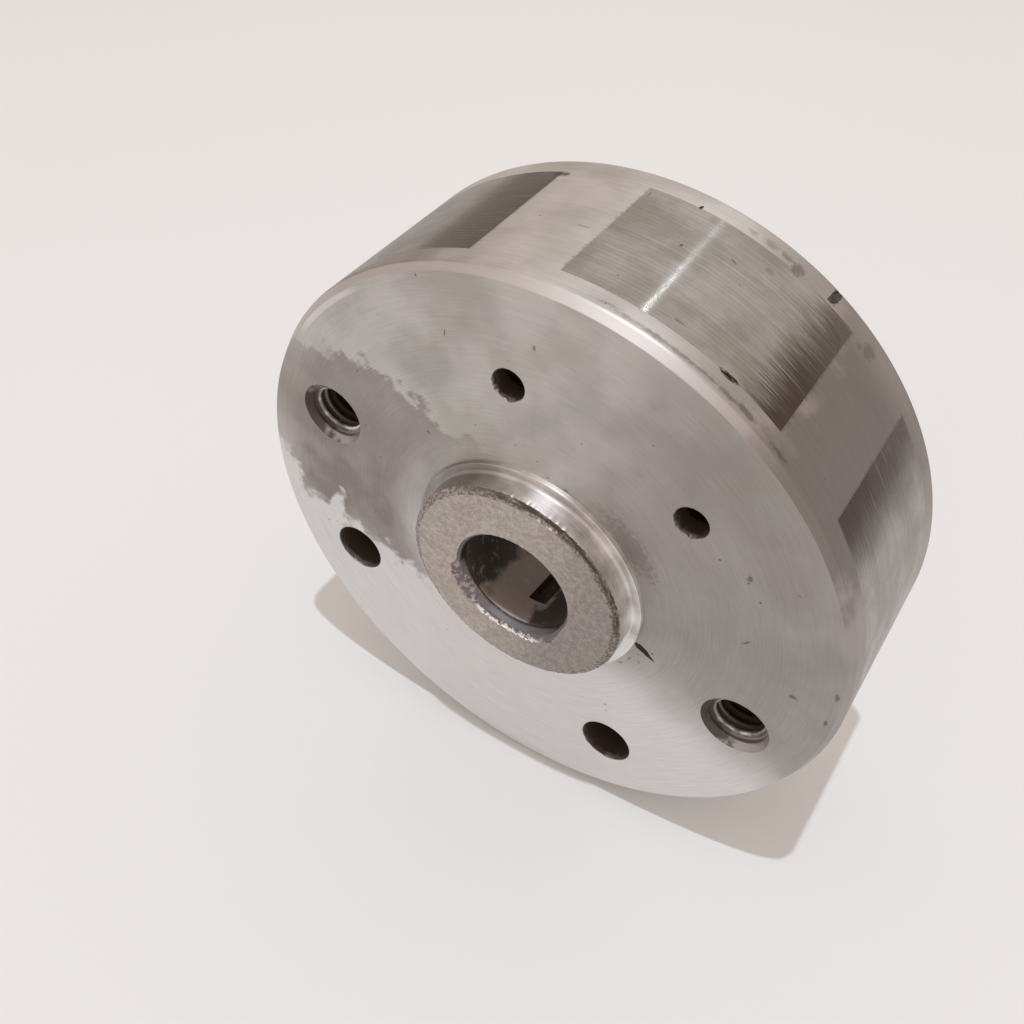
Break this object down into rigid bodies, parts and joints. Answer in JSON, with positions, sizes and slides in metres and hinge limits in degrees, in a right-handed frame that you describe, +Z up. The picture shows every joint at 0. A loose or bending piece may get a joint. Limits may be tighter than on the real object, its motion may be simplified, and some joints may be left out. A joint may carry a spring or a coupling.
{
  "type": "magneto flywheel",
  "caption": "Aluminium ignition flywheel with laminated magnet poles in its rim, a steel hub with a tapered bore, and puller holes.",
  "frame": {"origin": "centre of the shaft hole in the flat rear face", "axes": "the wheel stands on its rim: +Z up, +Y along the shaft axis towards the engine, -Y out of the boss, and +X to the right as the boss is looked at"},
  "size_m": [0.064, 0.0237, 0.064],
  "materials": {
    "cast_aluminium": "turned, handled",
    "hub_steel": "turned, light rust",
    "pole_steel": "turned laminations",
    "core_iron": "machined",
    "magnet_alloy": "ground",
    "plate_metal": "stamped",
    "rivet_steel": "drawn",
    "weight_iron": "as cast"
  },
  "bodies": {
    "root": {"cast_body": "cast_aluminium", "hub": "hub_steel", "magnet_core": "core_iron", "side_plate_front": "plate_metal", "side_plate_rear": "plate_metal", "balance_weight": "weight_iron", "pole_shoe_left": "pole_steel", "magnet_left": "magnet_alloy", "pole_rivet_left_upper": "rivet_steel", "pole_rivet_left_lower": "rivet_steel", "pole_shoe_centre": "pole_steel", "magnet_centre": "magnet_alloy", "pole_rivet_centre_upper": "rivet_steel", "pole_rivet_centre_lower": "rivet_steel", "pole_shoe_right": "pole_steel", "magnet_right": "magnet_alloy", "pole_rivet_right_upper": "rivet_steel", "pole_rivet_right_lower": "rivet_steel"}
  },
  "joints": []
}
